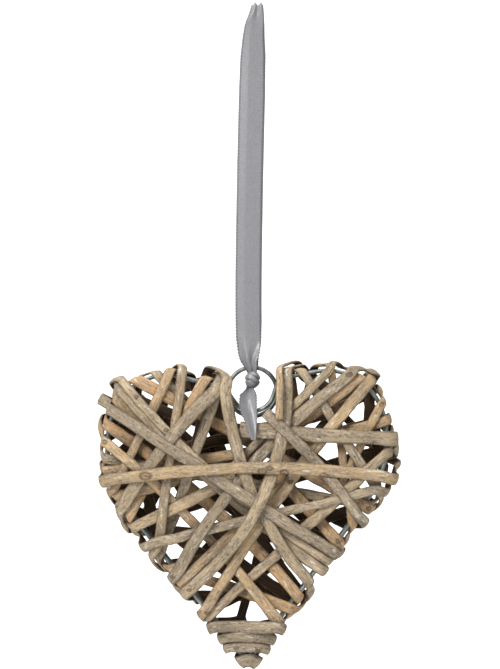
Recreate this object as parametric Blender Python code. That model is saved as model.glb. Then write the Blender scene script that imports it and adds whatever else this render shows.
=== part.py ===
"""Willow heart wall hanging: a galvanised wire frame wound with flat willow strips.

Metres, +Z up, the front of the heart faces -Y. The origin is the inside top of the
ribbon loop, where a hook carries it. Sizes below are in millimetres.
"""

import math

import bmesh
import bpy
import numpy as np

MM = 0.001
COLLECTION = "willow_heart_hanging"

# Wire frame
WIRE_D = 3.0            # galvanised wire
FRAME_DEPTH = 28.0      # between the wire centres of the front and back hearts
LOBE_R = 39.5           # top of each lobe
BELLY_R = 70.0          # outer side of each lobe, below its shoulder
BELLY_TURN = 14.0       # degrees above the horizontal where a lobe passes into its belly
LOBE_SPACING = 105.0    # between the lobe centres
LOBE_LIFT = 4.8         # the right lobe stands this much higher
LOBE_Z = -284.4         # mean height of the lobe centres
HEART_X = -2.0          # middle of the heart, from the hanging line
NOTCH_R = 14.5          # round bottom of the notch
NOTCH_X = 1.0           # its middle
NOTCH_Z = -270.6        # wire centre at the bottom of the notch
SHOULDER_R = 4.5        # bend of the wire at each side of the notch
SHOULDER_SPREAD = 41.5  # between the centres of these two bends
SHOULDER_RISE = 14.5    # their mean height over the bottom of the notch
SHOULDER_LIFT = 7.0     # the right one stands this much higher
TIP_R = 4.0             # bend of the wire at the tip
TIP_X = 0.2             # middle of the tip
TIP_Z = -434.5          # wire centre at the tip
TIE_MARKS = (0.0, 14.0, 31.0, 45.5, 54.0, 69.0, 86.0)   # places of the ties on the rim

# Hanging ring
RING_WIRE_D = 3.0       # wire of the ring
RING_INNER_D = 29.5     # inside the ring

# Willow strips
STRIP_T = 1.4           # thickness
CROWN = 0.78            # width of the outer face over the inner one
LAY_GAP = 0.85          # left between strips that lie on one another
WIRE_GAP = 1.0          # left between a strip and the wire
BEND_R = 40.0           # tightest bow of a strip on the front and back
SIDE_BEND_R = 12.0      # and on the rim
INNER_SAG = 12.0        # how far the first strips may sink between the wires
OUTER_SAG = 0.5         # and the last ones, which lie nearly level
SHAPE_TOL = 0.37        # by which a strip's faces may stray from its curve
WIRE_TOL = 0.18         # the same for the wire
SIDE_SLOPE = 0.4        # most run along the rim for each millimetre across it
NOTCH_KEEP = 30.0       # rim at each side of the notch that no strip goes round at the back
TIP_KEEP = 41.0         # and at each side of the tip
SIDE_REACH = 7.0        # a strip on the rim clears what lies this near over it
TAIL_SHARE = 0.45       # share of a crossing that a strip's loose end covers
LONG_TAILS = {"strip_04": 0.93}     # the one that reaches to the tip
BACK_BOWS = {"strip_06": 24.0}      # the one that sags below the ring on the back

# Ribbon
RIBBON_W = 16.0         # full width
RIBBON_T = 0.9          # thickness, with its folds
RIBBON_TOP_W = 9.0      # width where it is gathered on the hook
RIBBON_RING_W = 8.0     # and on the ring
HOOK_D = 7.0            # room for the hook inside the top of the loop
KNOT_X = -0.8           # middle of the knot
KNOT_Z = -250.0
KNOT_W = 10.0           # size of the knot across, front to back and up
KNOT_D = 9.0
KNOT_H = 10.0
TAIL_END_Z = -288.5     # lower end of the ribbon
TAIL_BEND_R = 25.0      # tightest bow of the ribbon's end
TOUCH = 0.3             # between pieces that touch

# Places on the rim are marks from 0 to 100, clockwise as seen from the front: 0 is the
# bottom of the notch, about 12 the right lobe, 50 the tip and about 88 the left lobe.
# A strip's front crossings are (from mark, to mark, bow, width), in the order it is
# wound, and the bow is to the left of its run. A strip starts and ends in a tail on the
# back, which comes from or goes to the mark given. Where a strip starts or ends on the
# front instead, its tail is the share of that crossing that is left out.
STRIPS = {
    "strip_01": ("back", 7.1, [(29.0, 76.8, 0.0, 6.6), (88.6, 34.1, 0.0, 6.6)], "front", 0.81),
    "strip_02": ("front", 0.52, [(91.9, 33.9, 0.0, 8.6), (80.4, 41.3, 5.9, 7.9)], "back", 75.6),
    "strip_03": ("back", 86.7, [(42.9, 62.7, 0.0, 7.3), (86.5, 29.1, 0.0, 7.9)], "back", 96.4),
    "strip_04": ("back", 52.3, [(10.7, 31.5, 0.0, 5.9), (70.3, 93.5, 0.0, 7.3)], "back", 63.8),
    "strip_05": ("back", 30.1, [(13.7, 72.7, 12.5, 7.3), (19.4, 75.5, 4.0, 7.3)], "back", 17.4),
    "strip_06": ("front", 0.57, [(48.0, 17.6, 0.0, 5.9), (83.3, 38.1, 0.0, 6.6)], "front", 0.65),
    "strip_07": ("back", 37.3, [(7.7, 26.8, 0.0, 6.6), (65.0, 95.3, 0.0, 7.3)], "back", 65.7),
    "strip_08": ("back", 27.7, [(56.3, 22.8, 0.0, 7.3), (10.5, 66.0, 0.0, 5.9)], "front", 0.41),
    "strip_09": ("back", 43.1, [(89.7, 73.6, 0.0, 6.6), (44.7, 78.6, -4.6, 7.3)], "back", 91.5),
    "strip_10": ("front", 0.60, [(18.1, 68.8, 0.0, 7.9), (91.1, 65.6, 0.0, 6.6)], "back", 36.1),
    "strip_11": ("back", 80.2, [(37.5, 84.2, 4.0, 7.3), (36.3, 85.1, 6.6, 5.9)], "back", 46.7),
    "strip_12": ("front", 0.48, [(16.8, 61.1, 0.0, 7.3), (14.9, 57.1, -4.0, 7.9)], "back", 35.4),
    "strip_13": ("back", 94.9, [(66.3, 27.0, 0.0, 6.6), (12.7, 62.2, -9.2, 7.9)], "back", 22.9),
    "strip_14": ("front", 0.47, [(80.9, 21.3, 0.0, 9.9), (71.6, 95.3, 3.3, 9.2)], "back", 55.9),
    "strip_15": ("back", 83.1, [(96.0, 39.3, -10.6, 7.9), (59.9, 5.8, -18.5, 8.6)], "back", 20.4),
    "strip_16": ("back", 93.9, [(74.5, 25.4, 6.6, 8.6), (5.1, 46.0, 0.0, 5.3)], "front", 0.84),
    "strip_17": ("back", 87.7, [(35.2, 82.0, 0.0, 7.9), (30.4, 1.1, -2.6, 7.6)], "front", 0.03),
}
# The last strips are threaded over and under one another, so each is laid in two goes:
# up to a share of one of its crossings, its tail counted as crossing 0, then the rest.
THREADED = (("strip_15", 2, 0.2), ("strip_16", 1, 0.485), ("strip_17", 2, 0.2),
            ("strip_15", 9, 1.0), ("strip_17", 9, 1.0), ("strip_16", 9, 1.0))

# Turns of the binding round the tip, from the top: height over the wire's tip, reach
# beyond the wire's centre, width, and how far it leans down at the sides and on the
# front, in radians. It starts on the back, halfway down from the first turn given, and
# ends there on its way to the last one.
BINDING = (
    (28.8, 0.9, 7.5, 0.40, 0.03),
    (21.3, 0.9, 7.5, 0.40, 0.03),
    (13.8, 1.7, 6.6, 0.40, 0.03),
    (7.0, 3.3, 5.8, 0.30, 0.03),
    (0.0, 1.8, 9.2, 0.70, 0.30),
    (-7.0, 1.8, 6.0, 0.70, 0.30),
)
BINDING_END = 0.3       # share of the way to the last turn where the binding ends


def unit(v):
    return v / np.linalg.norm(v)


def rim_circles():
    """The circles that the heart's wire runs round, clockwise; the notch turns the other way."""
    turn = math.radians(BELLY_TURN)
    grow = BELLY_R - LOBE_R
    left = np.array([HEART_X - LOBE_SPACING / 2, LOBE_Z - LOBE_LIFT / 2])
    right = np.array([HEART_X + LOBE_SPACING / 2, LOBE_Z + LOBE_LIFT / 2])
    shoulders_z = NOTCH_Z + SHOULDER_RISE
    return [
        (np.array([NOTCH_X, NOTCH_Z + NOTCH_R]), -NOTCH_R),
        (np.array([NOTCH_X + SHOULDER_SPREAD / 2, shoulders_z + SHOULDER_LIFT / 2]), SHOULDER_R),
        (right, LOBE_R),
        (right - grow * np.array([math.cos(turn), math.sin(turn)]), BELLY_R),
        (np.array([TIP_X, TIP_Z + TIP_R]), TIP_R),
        (left + grow * np.array([math.cos(turn), -math.sin(turn)]), BELLY_R),
        (left, LOBE_R),
        (np.array([NOTCH_X - SHOULDER_SPREAD / 2, shoulders_z - SHOULDER_LIFT / 2]), SHOULDER_R),
    ]


def rim_line(step):
    """Points and outward normals along the wire's centre, from the bottom of the notch."""
    circles = rim_circles()
    leave = []
    for (c1, r1), (c2, r2) in zip(circles, circles[1:] + circles[:1]):
        way = c2 - c1
        lean = math.acos(max(-1.0, min(1.0, (r1 - r2) / math.hypot(*way))))
        leave.append(math.atan2(way[1], way[0]) + lean)
    points = []
    normals = []
    for i, (centre, radius) in enumerate(circles):
        arrive = leave[i - 1]
        sweep = (leave[i] - arrive) % (2 * math.pi)
        if radius > 0:
            sweep -= 2 * math.pi
        if abs(abs(sweep) - 2 * math.pi) < 1e-6:
            sweep = 0.0
        count = max(1, math.ceil(abs(sweep * radius) / step))
        for k in range(count + 1):
            angle = arrive + sweep * k / count
            normal = np.array([math.cos(angle), math.sin(angle)])
            points.append(centre + radius * normal)
            normals.append(normal)
        next_centre, next_radius = circles[(i + 1) % len(circles)]
        end = next_centre + next_radius * normal
        count = int(math.hypot(*(end - points[-1])) / step)
        begin = points[-1]
        for k in range(1, count):
            points.append(begin + (end - begin) * k / count)
            normals.append(normal)
    points = np.array(points)
    normals = np.array(normals)
    apart = np.linalg.norm(np.roll(points, -1, 0) - points, axis=1) > 1e-6
    points = points[apart]
    normals = normals[apart]
    bottom = np.argmin(np.hypot(points[:, 0] - NOTCH_X, points[:, 1] - NOTCH_Z))
    points = np.roll(points, -bottom, 0)
    normals = np.roll(normals, -bottom, 0)
    return np.vstack([points, points[:1]]), np.vstack([normals, normals[:1]])


class Rim:
    """The heart's outline, read by distance along it."""

    def __init__(self):
        self.points, self.normals = rim_line(0.5)
        steps = np.linalg.norm(np.diff(self.points, axis=0), axis=1)
        self.along = np.concatenate([[0.0], np.cumsum(steps)])
        self.length = self.along[-1]

    def at(self, distance):
        d = np.mod(distance, self.length)
        return np.stack([np.interp(d, self.along, self.points[:, k]) for k in (0, 1)], -1)

    def out(self, distance):
        d = np.mod(distance, self.length)
        n = np.stack([np.interp(d, self.along, self.normals[:, k]) for k in (0, 1)], -1)
        return n / np.linalg.norm(n, axis=-1, keepdims=True)


RIM = Rim()
BASE = WIRE_D / 2 + WIRE_GAP                    # from the wire's centre to a strip's inner face
QUARTER = (BASE + STRIP_T / 2) * math.pi / 2    # length of a quarter bend round the wire
ROUND = FRAME_DEPTH + 2 * QUARTER               # way round the rim from front to back
STEP = 1.0                                      # between the points of a strip's line
REACH = 26                                      # points over which one support lifts a strip


def rim_sides(z):
    """Where the wire's centre is at the left and the right of the tip, at a height."""
    first_half = RIM.along < RIM.length / 2
    places = []
    for side in (~first_half, first_half):
        points = RIM.points[side & (RIM.points[:, 1] < LOBE_Z)]
        order = np.argsort(points[:, 1])
        places.append(float(np.interp(z, points[order, 1], points[order, 0])))
    return places


def chord(start, end, bow, lo, hi):
    """Points of one crossing in the heart's plane, and its directions at both ends."""
    a = RIM.at(start)
    b = RIM.at(end)
    length = math.hypot(*(b - a))
    count = max(4, int(length * (hi - lo) / STEP))
    t = np.linspace(lo, hi, count + 1)[:, None]
    side = np.array([-(b - a)[1], (b - a)[0]]) / length
    points = a + (b - a) * t + side * 4 * bow * t * (1 - t)
    lean = 4 * bow / length
    way = (b - a) / length
    return points, t[:, 0], unit(way + side * lean), unit(way - side * lean)


def slope(way, distance, sign):
    """How far a crossing runs along the rim for each millimetre across it, where it meets it."""
    out = RIM.out(distance)
    along = np.array([out[1], -out[0]])
    across = sign * float(way @ out)
    return max(-SIDE_SLOPE, min(SIDE_SLOPE, float(way @ along) / max(0.2, across)))


def kept_back(front, back):
    """The back place of a side run, on the front place's side and clear of notch and tip."""
    half = RIM.length / 2
    sign = 1.0 if front % RIM.length < half else -1.0
    around = sign * back % RIM.length
    if around > 1.5 * half:
        around -= RIM.length
    kept = min(max(around, NOTCH_KEEP), half - TIP_KEEP)
    return back + sign * (kept - around)


class Strip:
    """One willow strip: its line over the frame at zero height, before it is laid on others."""

    def __init__(self, name, row, number, order):
        start_kind, start_value, fronts, end_kind, end_value = row
        self.name = name
        self.number = number
        legs = []
        for mark_a, mark_b, bow, width in fronts:
            if legs or start_kind == "back":
                legs.append(["back", None, None, BACK_BOWS.get(name, 0.0), 0.0, 1.0, width])
            legs.append(["front", mark_a, mark_b, bow, 0.0, 1.0, width])
        if start_kind == "back":
            legs[0][1] = start_value
            legs[0][4] = 1.0 - LONG_TAILS.get(name, TAIL_SHARE)
        else:
            legs[0][4] = start_value
        if end_kind == "back":
            legs.append(["back", None, end_value, 0.0, 0.0, TAIL_SHARE, fronts[-1][3]])
        else:
            legs[-1][5] = 1.0 - end_value
        for leg in legs:
            for k in (1, 2):
                if leg[k] is not None:
                    leg[k] = leg[k] / 100.0 * RIM.length
        self.legs = legs
        self.sag = INNER_SAG + (OUTER_SAG - INNER_SAG) * order
        shifts = [0.0] * (len(legs) - 1)
        for _ in range(4):
            self.place_backs(shifts)
            shifts = self.side_runs()
        self.place_backs(shifts)
        self.trace(shifts)

    def place_backs(self, shifts):
        for i, leg in enumerate(self.legs):
            if leg[0] == "back":
                if i > 0:
                    leg[1] = self.legs[i - 1][2] + shifts[i - 1]
                if i < len(self.legs) - 1:
                    leg[2] = self.legs[i + 1][1] - shifts[i]

    def side_runs(self):
        self.slopes = []
        shifts = []
        for before, after in zip(self.legs, self.legs[1:]):
            arrive = chord(*before[1:6])[3]
            depart = chord(*after[1:6])[2]
            pair = (slope(arrive, before[2], 1.0), slope(depart, after[1], -1.0))
            self.slopes.append(pair)
            shift = ROUND * (pair[0] + pair[1]) / 2
            if before[0] == "front":
                shifts.append(kept_back(before[2], before[2] + shift) - before[2])
            else:
                shifts.append(after[1] - kept_back(after[1], after[1] - shift))
        return shifts

    def trace(self, shifts):
        centres = []
        normals = []
        legs = []
        shares = []
        widths = []
        for i, leg in enumerate(self.legs):
            side = -1.0 if leg[0] == "front" else 1.0
            points, t, _, _ = chord(*leg[1:6])
            flat = np.zeros((len(points), 3))
            flat[:, 0] = points[:, 0]
            flat[:, 1] = side * FRAME_DEPTH / 2
            flat[:, 2] = points[:, 1]
            centres.append(flat)
            normals.append(np.tile([0.0, side, 0.0], (len(points), 1)))
            legs += [i] * len(points)
            shares += list(t)
            widths += [leg[6]] * len(points)
            if i < len(self.legs) - 1:
                centre, normal, share = self.turn(leg[2], shifts[i], self.slopes[i], side)
                centres.append(centre)
                normals.append(normal)
                legs += list(np.where(share < 0.5, i, i + 1))
                shares += [1.0] * len(share)
                other = self.legs[i + 1][6]
                widths += list(leg[6] + (other - leg[6]) * share)
        self.centres = np.vstack(centres)
        self.normals = np.vstack(normals)
        self.leg = np.array(legs)
        self.share = np.array(shares)
        self.width = np.array(widths)
        self.height = np.zeros(len(self.leg))
        self.laid = 0

    def turn(self, distance, shift, slopes, side):
        """The way round the rim: a quarter bend, straight across the side, a quarter bend."""
        bend = 5
        across = max(4, int(FRAME_DEPTH / STEP))
        q = np.concatenate([np.linspace(0, QUARTER, bend + 1)[1:],
                            QUARTER + np.linspace(0, FRAME_DEPTH, across + 1)[1:-1],
                            QUARTER + FRAME_DEPTH + np.linspace(0, QUARTER, bend + 1)[:-1]])
        u = q / ROUND
        run = ((u ** 3 - 2 * u ** 2 + u) * slopes[0] * ROUND + (3 * u ** 2 - 2 * u ** 3) * shift
               + (u ** 3 - u ** 2) * slopes[1] * ROUND)
        places = RIM.at(distance + run)
        outs = RIM.out(distance + run)
        y = np.clip(q - QUARTER, 0.0, FRAME_DEPTH) - FRAME_DEPTH / 2
        over = np.minimum(q, ROUND - q).clip(0, QUARTER) / QUARTER * math.pi / 2
        face = np.where(u < 0.5, side, -side)
        centres = np.stack([places[:, 0], -side * y, places[:, 1]], -1)
        normals = np.stack([np.sin(over) * outs[:, 0], np.cos(over) * face,
                            np.sin(over) * outs[:, 1]], -1)
        return centres, normals, u

    def frames(self, heights):
        """Points of the inner face's middle, with the directions along and across the strip."""
        points = self.centres + (BASE + heights)[:, None] * self.normals
        along = np.gradient(points, axis=0)
        along /= np.linalg.norm(along, axis=1, keepdims=True)
        across = np.cross(along, self.normals)
        across /= np.linalg.norm(across, axis=1, keepdims=True)
        out = np.cross(across, along)
        return points, along, across, out


class Binding(Strip):
    """The strip wound round the tip, in turns that go down one by one on the back."""

    def __init__(self, number):
        self.name = "tip_binding"
        self.number = number
        self.sag = 0.0
        rises, reaches, widths, side_leans, front_leans = np.array(BINDING).T
        depth = FRAME_DEPTH / 2
        ends = []
        for rise, reach in zip(rises, reaches):
            left, right = rim_sides(TIP_Z + rise)
            ends.append((left - reach, right + reach))
        # Points of the way round: place across and in depth, quarter turns made, turn.
        way = [(sum(ends[1]) / 2, depth, 4.0, 0.5)]
        last = len(BINDING) - 2
        for turn in range(1, last + 1):
            left, right = ends[turn]
            for quarter, x, y in ((0, left, depth), (1, left, -depth), (2, right, -depth),
                                  (3, right, depth)):
                way.append((x, y, 4.0 * turn + quarter, turn))
                way.append((x, y, 4.0 * turn + quarter + 1.0, turn))
        left, right = ends[last]
        way.append((right + (left - right) * BINDING_END, depth, 4.0 * last + 4.0,
                    last + BINDING_END))
        way = np.array(way)
        moved = np.hypot(np.diff(way[:, 0]), np.diff(way[:, 1])) + QUARTER * np.diff(way[:, 2])
        along = np.concatenate([[0.0], np.cumsum(moved)])
        wanted = np.linspace(0.0, along[-1], int(along[-1] / STEP) + 1)
        x, y, quarters, turns = (np.interp(wanted, along, way[:, k]) for k in range(4))
        share = turns % 1.0
        turns = turns - share + 3 * share ** 2 - 2 * share ** 3
        order = np.arange(len(BINDING))
        angle = quarters * math.pi / 2
        lean = (np.interp(turns, order, side_leans) * np.sin(angle) ** 2
                + np.interp(turns, order, front_leans) * np.cos(angle) ** 2)
        self.centres = np.stack([x, y, TIP_Z + np.interp(turns, order, rises)], -1)
        self.normals = np.stack([-np.sin(angle) * np.cos(lean), np.cos(angle) * np.cos(lean),
                                 -np.sin(lean)], -1)
        self.leg = np.zeros(len(wanted), int)
        self.share = np.zeros(len(wanted))
        self.width = np.interp(turns, order, widths)
        self.height = np.zeros(len(wanted))
        self.laid = 0


WIRE = 255      # the mark of a wire in the heap


class Heap:
    """What is laid so far, as a fine grid of the number of the strip and crossing there."""

    def __init__(self):
        self.cell = 0.4
        self.low = np.array([-125.0, -48.0, -462.0])
        self.high = np.array([125.0, 48.0, -222.0])
        self.size = np.ceil((self.high - self.low) / self.cell).astype(int)
        self.grid = np.zeros(self.size, np.uint8)

    def index(self, points):
        cells = ((points - self.low) / self.cell).astype(int)
        return tuple(np.clip(cells, 0, self.size - 1).T)

    def mark_wires(self):
        """Marks both wires: a strip over one stays at zero height at least."""
        places = RIM.at(np.arange(0.0, RIM.length, 0.4))
        for side in (-1.0, 1.0):
            for angle in np.linspace(0.0, 2 * math.pi, 12, endpoint=False):
                here = np.zeros((len(places), 3))
                here[:, 0] = places[:, 0]
                here[:, 1] = side * FRAME_DEPTH / 2 + (WIRE_D / 2 + WIRE_GAP) * math.cos(angle)
                here[:, 2] = places[:, 1] + (WIRE_D / 2 + WIRE_GAP) * math.sin(angle)
                self.grid[self.index(here)] = WIRE

    def mark(self, strip, first, last):
        fine = np.linspace(first, last - 1, (last - first) * 3)
        near = np.arange(len(strip.height))
        points, _, across, out = strip.frames(strip.height)

        def read(values):
            return np.stack([np.interp(fine, near, values[:, k]) for k in range(3)], -1)

        points, across, out = read(points), read(across), read(out)
        width = np.interp(fine, near, strip.width)
        leg = strip.leg[np.round(fine).astype(int)]
        labels = (1 + strip.number * 6 + leg % 6).astype(np.uint8)
        for u in np.linspace(-0.5, 0.5, 23):
            for e in np.linspace(0.0, STRIP_T, 6):
                here = points + across * (u * width)[:, None] + out * e
                self.grid[self.index(here)] = labels

    def needed(self, strip, first, last, leg):
        """The lowest height at each point that clears what lies there already."""
        points, _, across, _ = strip.frames(np.zeros(len(strip.height)))
        points = points[first:last]
        across = across[first:last]
        normals = strip.normals[first:last]
        half = strip.width[first:last] / 2 + 0.4
        others = np.ones(256, bool)
        others[0] = False
        for k in (-1, 0, 1):
            others[1 + strip.number * 6 + (leg + k) % 6] = False
        need = np.full(last - first, -99.0)
        flat = np.abs(normals[:, 1]) > 0.999
        for e in np.arange(-12.0, 24.0, self.cell):
            for u in np.linspace(-1.0, 1.0, 19):
                here = points + across * (u * half)[:, None] + normals * e
                near = flat | ((e >= 0.0) & (e < np.maximum(need, 0.0) + SIDE_REACH))
                found = self.grid[self.index(here)]
                hit = others[found] & near
                need[hit] = np.where(found[hit] == WIRE, np.maximum(need[hit], 0.0), e + LAY_GAP)
        return need


def taut(need, bend):
    """The strip's height: over every support, with no bow tighter than the bend given."""
    height = need.copy()
    for k in range(1, REACH):
        drop = (k * STEP) ** 2 / (2 * bend)
        height[k:] = np.maximum(height[k:], need[:-k] - drop[k:])
        height[:-k] = np.maximum(height[:-k], need[k:] - drop[:-k])
    kernel = np.ones(7) / 7
    smooth = np.convolve(np.pad(height, 3, mode="edge"), kernel, "valid")
    return np.maximum(smooth, need)


def lay(heap, strip, last):
    """Lays a strip from where it stopped up to a point, one crossing after another."""
    while strip.laid < last:
        first = strip.laid
        leg = strip.leg[first]
        rest = np.where(strip.leg[first:last] == leg)[0]
        end = first + rest[-1] + 1
        ahead = min(len(strip.leg), end + REACH)
        back = max(0, first - REACH)
        sag = -strip.sag * 4 * strip.share * (1 - strip.share)
        need = np.maximum(heap.needed(strip, back, ahead, leg), sag[back:ahead])
        need[:first - back] = strip.height[back:first]
        flat = np.abs(strip.normals[back:ahead, 1]) > 0.999
        height = taut(need, np.where(flat, BEND_R, SIDE_BEND_R))
        strip.height[first:end] = height[first - back:end - back]
        heap.mark(strip, max(0, first - 1), end)
        strip.laid = end


def lay_all():
    """Every strip of the weave and the binding, laid on the wires and on one another."""
    heap = Heap()
    heap.mark_wires()
    strips = {}
    for number, (name, row) in enumerate(STRIPS.items()):
        strips[name] = Strip(name, row, number, number / (len(STRIPS) - 1))
    threaded = [name for name, _, _ in THREADED]
    for name, strip in strips.items():
        if name not in threaded:
            lay(heap, strip, len(strip.leg))
    for name, leg, share in THREADED:
        strip = strips[name]
        past = (strip.leg > leg) | ((strip.leg == leg) & (strip.share >= share))
        stops = np.where(past)[0]
        lay(heap, strip, int(stops[0]) if len(stops) else len(strip.leg))
    binding = Binding(len(strips))
    lay(heap, binding, len(binding.leg))
    strips["tip_binding"] = binding
    return strips, heap


def corners(strip):
    """The four corners of the strip's section all along it: inner pair, then outer pair."""
    points, _, across, out = strip.frames(strip.height)
    half = strip.width[:, None] / 2
    top = points + out * STRIP_T
    return np.stack([points - across * half, points + across * half,
                     top + across * half * CROWN, top - across * half * CROWN], 1)


def kept_rings(rings, tolerance):
    """Which sections to keep so that no corner moves by more than the tolerance."""
    keep = np.zeros(len(rings), bool)
    keep[[0, -1]] = True
    waiting = [(0, len(rings) - 1)]
    while waiting:
        a, b = waiting.pop()
        if b - a < 2:
            continue
        way = rings[b] - rings[a]
        size = (way ** 2).sum(-1) + 1e-9
        off = rings[a + 1:b] - rings[a]
        t = np.clip((off * way).sum(-1) / size, 0, 1)
        gap = np.linalg.norm(off - way * t[..., None], axis=-1).max(-1)
        worst = int(gap.argmax())
        if gap[worst] > tolerance:
            keep[a + 1 + worst] = True
            waiting += [(a, a + 1 + worst), (a + 1 + worst, b)]
    return np.where(keep)[0]


# Looks of the pieces: base colour, roughness and metallic share.
MATERIALS = {
    "willow_tan": ((0.52, 0.37, 0.21), 0.75, 0.0),
    "galvanised_wire": ((0.36, 0.39, 0.38), 0.5, 0.9),
    "satin_ribbon": ((0.36, 0.36, 0.38), 0.4, 0.0),
}


def material(name):
    found = bpy.data.materials.get(name)
    if found:
        return found
    colour, roughness, metallic = MATERIALS[name]
    made = bpy.data.materials.new(name)
    made.use_nodes = True
    shader = made.node_tree.nodes["Principled BSDF"]
    shader.inputs["Base Color"].default_value = (*colour, 1.0)
    shader.inputs["Roughness"].default_value = roughness
    shader.inputs["Metallic"].default_value = metallic
    made.diffuse_color = (*colour, 1.0)
    return made


def add_node(name, mesh, look):
    node = bpy.data.objects.new(name, mesh)
    bpy.data.collections[COLLECTION].objects.link(node)
    mesh.materials.clear()
    mesh.materials.append(material(look))
    return node


def swept_mesh(name, rings):
    """A closed body through sections with the same number of corners each, in millimetres."""
    build = bmesh.new()
    rows = [[build.verts.new(corner * MM) for corner in ring] for ring in rings]
    count = len(rings[0])
    for a, b in zip(rows, rows[1:]):
        for k in range(count):
            n = (k + 1) % count
            build.faces.new((a[k], a[n], b[n]))
            build.faces.new((a[k], b[n], b[k]))
    build.faces.new(list(reversed(rows[0])))
    build.faces.new(rows[-1])
    bmesh.ops.triangulate(build, faces=[f for f in build.faces if len(f.verts) > 3])
    bmesh.ops.recalc_face_normals(build, faces=build.faces)
    mesh = bpy.data.meshes.new(name)
    build.to_mesh(mesh)
    build.free()
    return mesh


def add_strips(strips):
    for name, strip in strips.items():
        rings = corners(strip)
        rings = rings[kept_rings(rings, SHAPE_TOL)]
        node_name = name if name == "tip_binding" else "willow_" + name
        add_node(node_name, swept_mesh(node_name, rings), "willow_tan")


def curve_mesh(name, points, diameter, closed):
    """A round wire along points, as a mesh."""
    curve = bpy.data.curves.new(name, "CURVE")
    curve.dimensions = "3D"
    spline = curve.splines.new("POLY")
    spline.points.add(len(points) - 1)
    for place, point in zip(spline.points, points):
        place.co = (*(np.array(point) * MM), 1.0)
    spline.use_cyclic_u = closed
    curve.bevel_depth = diameter / 2 * MM
    curve.bevel_resolution = 2
    curve.use_fill_caps = not closed
    holder = bpy.data.objects.new(name, curve)
    bpy.context.scene.collection.objects.link(holder)
    bpy.context.view_layer.update()
    seen = holder.evaluated_get(bpy.context.evaluated_depsgraph_get())
    mesh = bpy.data.meshes.new_from_object(seen)
    mesh.name = name
    bpy.data.objects.remove(holder)
    build = bmesh.new()
    build.from_mesh(mesh)
    bmesh.ops.remove_doubles(build, verts=build.verts, dist=1e-7)
    bmesh.ops.recalc_face_normals(build, faces=build.faces)
    build.to_mesh(mesh)
    build.free()
    return mesh


def rim_points():
    """The wire's bend points, close together where it turns sharply."""
    rings = RIM.points[:-1][:, None, :]
    half = len(rings) // 2
    first = kept_rings(rings[:half + 1], WIRE_TOL)
    second = kept_rings(np.concatenate([rings[half:], rings[:1]]), WIRE_TOL)[:-1] + half
    return RIM.points[np.concatenate([first[:-1], second])]


def add_wires():
    outline = rim_points()
    for name, side in (("wire_heart_front", -1.0), ("wire_heart_back", 1.0)):
        points = [(x, side * FRAME_DEPTH / 2, z) for x, z in outline]
        add_node(name, curve_mesh(name, points, WIRE_D, True), "galvanised_wire")
    half = FRAME_DEPTH / 2 - WIRE_D / 2 - TOUCH
    for number, mark in enumerate(TIE_MARKS, 1):
        x, z = RIM.at(mark / 100 * RIM.length)
        name = "wire_tie_%d" % number
        points = [(x, -half, z), (x, half, z)]
        add_node(name, curve_mesh(name, points, WIRE_D, False), "galvanised_wire")


def ring_centre_z():
    """The ring hangs the heart by the tie at the bottom of the notch."""
    return NOTCH_Z - WIRE_D / 2 - TOUCH + RING_INNER_D / 2


def add_ring():
    bpy.ops.mesh.primitive_torus_add(
        major_segments=24, minor_segments=8,
        major_radius=(RING_INNER_D + RING_WIRE_D) / 2 * MM, minor_radius=RING_WIRE_D / 2 * MM,
        location=(NOTCH_X * MM, 0.0, ring_centre_z() * MM),
        rotation=(math.pi / 2, 0.0, 0.0))
    torus = bpy.context.object
    mesh = torus.data
    mesh.transform(torus.matrix_world)
    bpy.data.objects.remove(torus)
    mesh.name = "hanging_ring"
    add_node("hanging_ring", mesh, "galvanised_wire")


def band(path, widths, offsets, thickness):
    """Sections of a flat band that runs along points in the plane of the hanging line."""
    path = np.array(path, float)
    way = np.gradient(path, axis=0)
    way /= np.linalg.norm(way, axis=1, keepdims=True)
    rings = []
    for (y, z), (dy, dz), width, x in zip(path, way, widths, offsets):
        a = np.array([y + dz * thickness / 2, z - dy * thickness / 2])
        b = np.array([y - dz * thickness / 2, z + dy * thickness / 2])
        low = x - width / 2
        high = x + width / 2
        rings.append(np.array([[low, *a], [high, *a], [high, *b], [low, *b]]))
    return rings


def loop_mesh(name, rings):
    """A closed band: sections joined in a circle."""
    build = bmesh.new()
    rows = [[build.verts.new(corner * MM) for corner in ring] for ring in rings]
    for a, b in zip(rows, rows[1:] + rows[:1]):
        for k in range(4):
            n = (k + 1) % 4
            build.faces.new((a[k], a[n], b[n]))
            build.faces.new((a[k], b[n], b[k]))
    bmesh.ops.recalc_face_normals(build, faces=build.faces)
    mesh = bpy.data.meshes.new(name)
    build.to_mesh(mesh)
    build.free()
    return mesh


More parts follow.
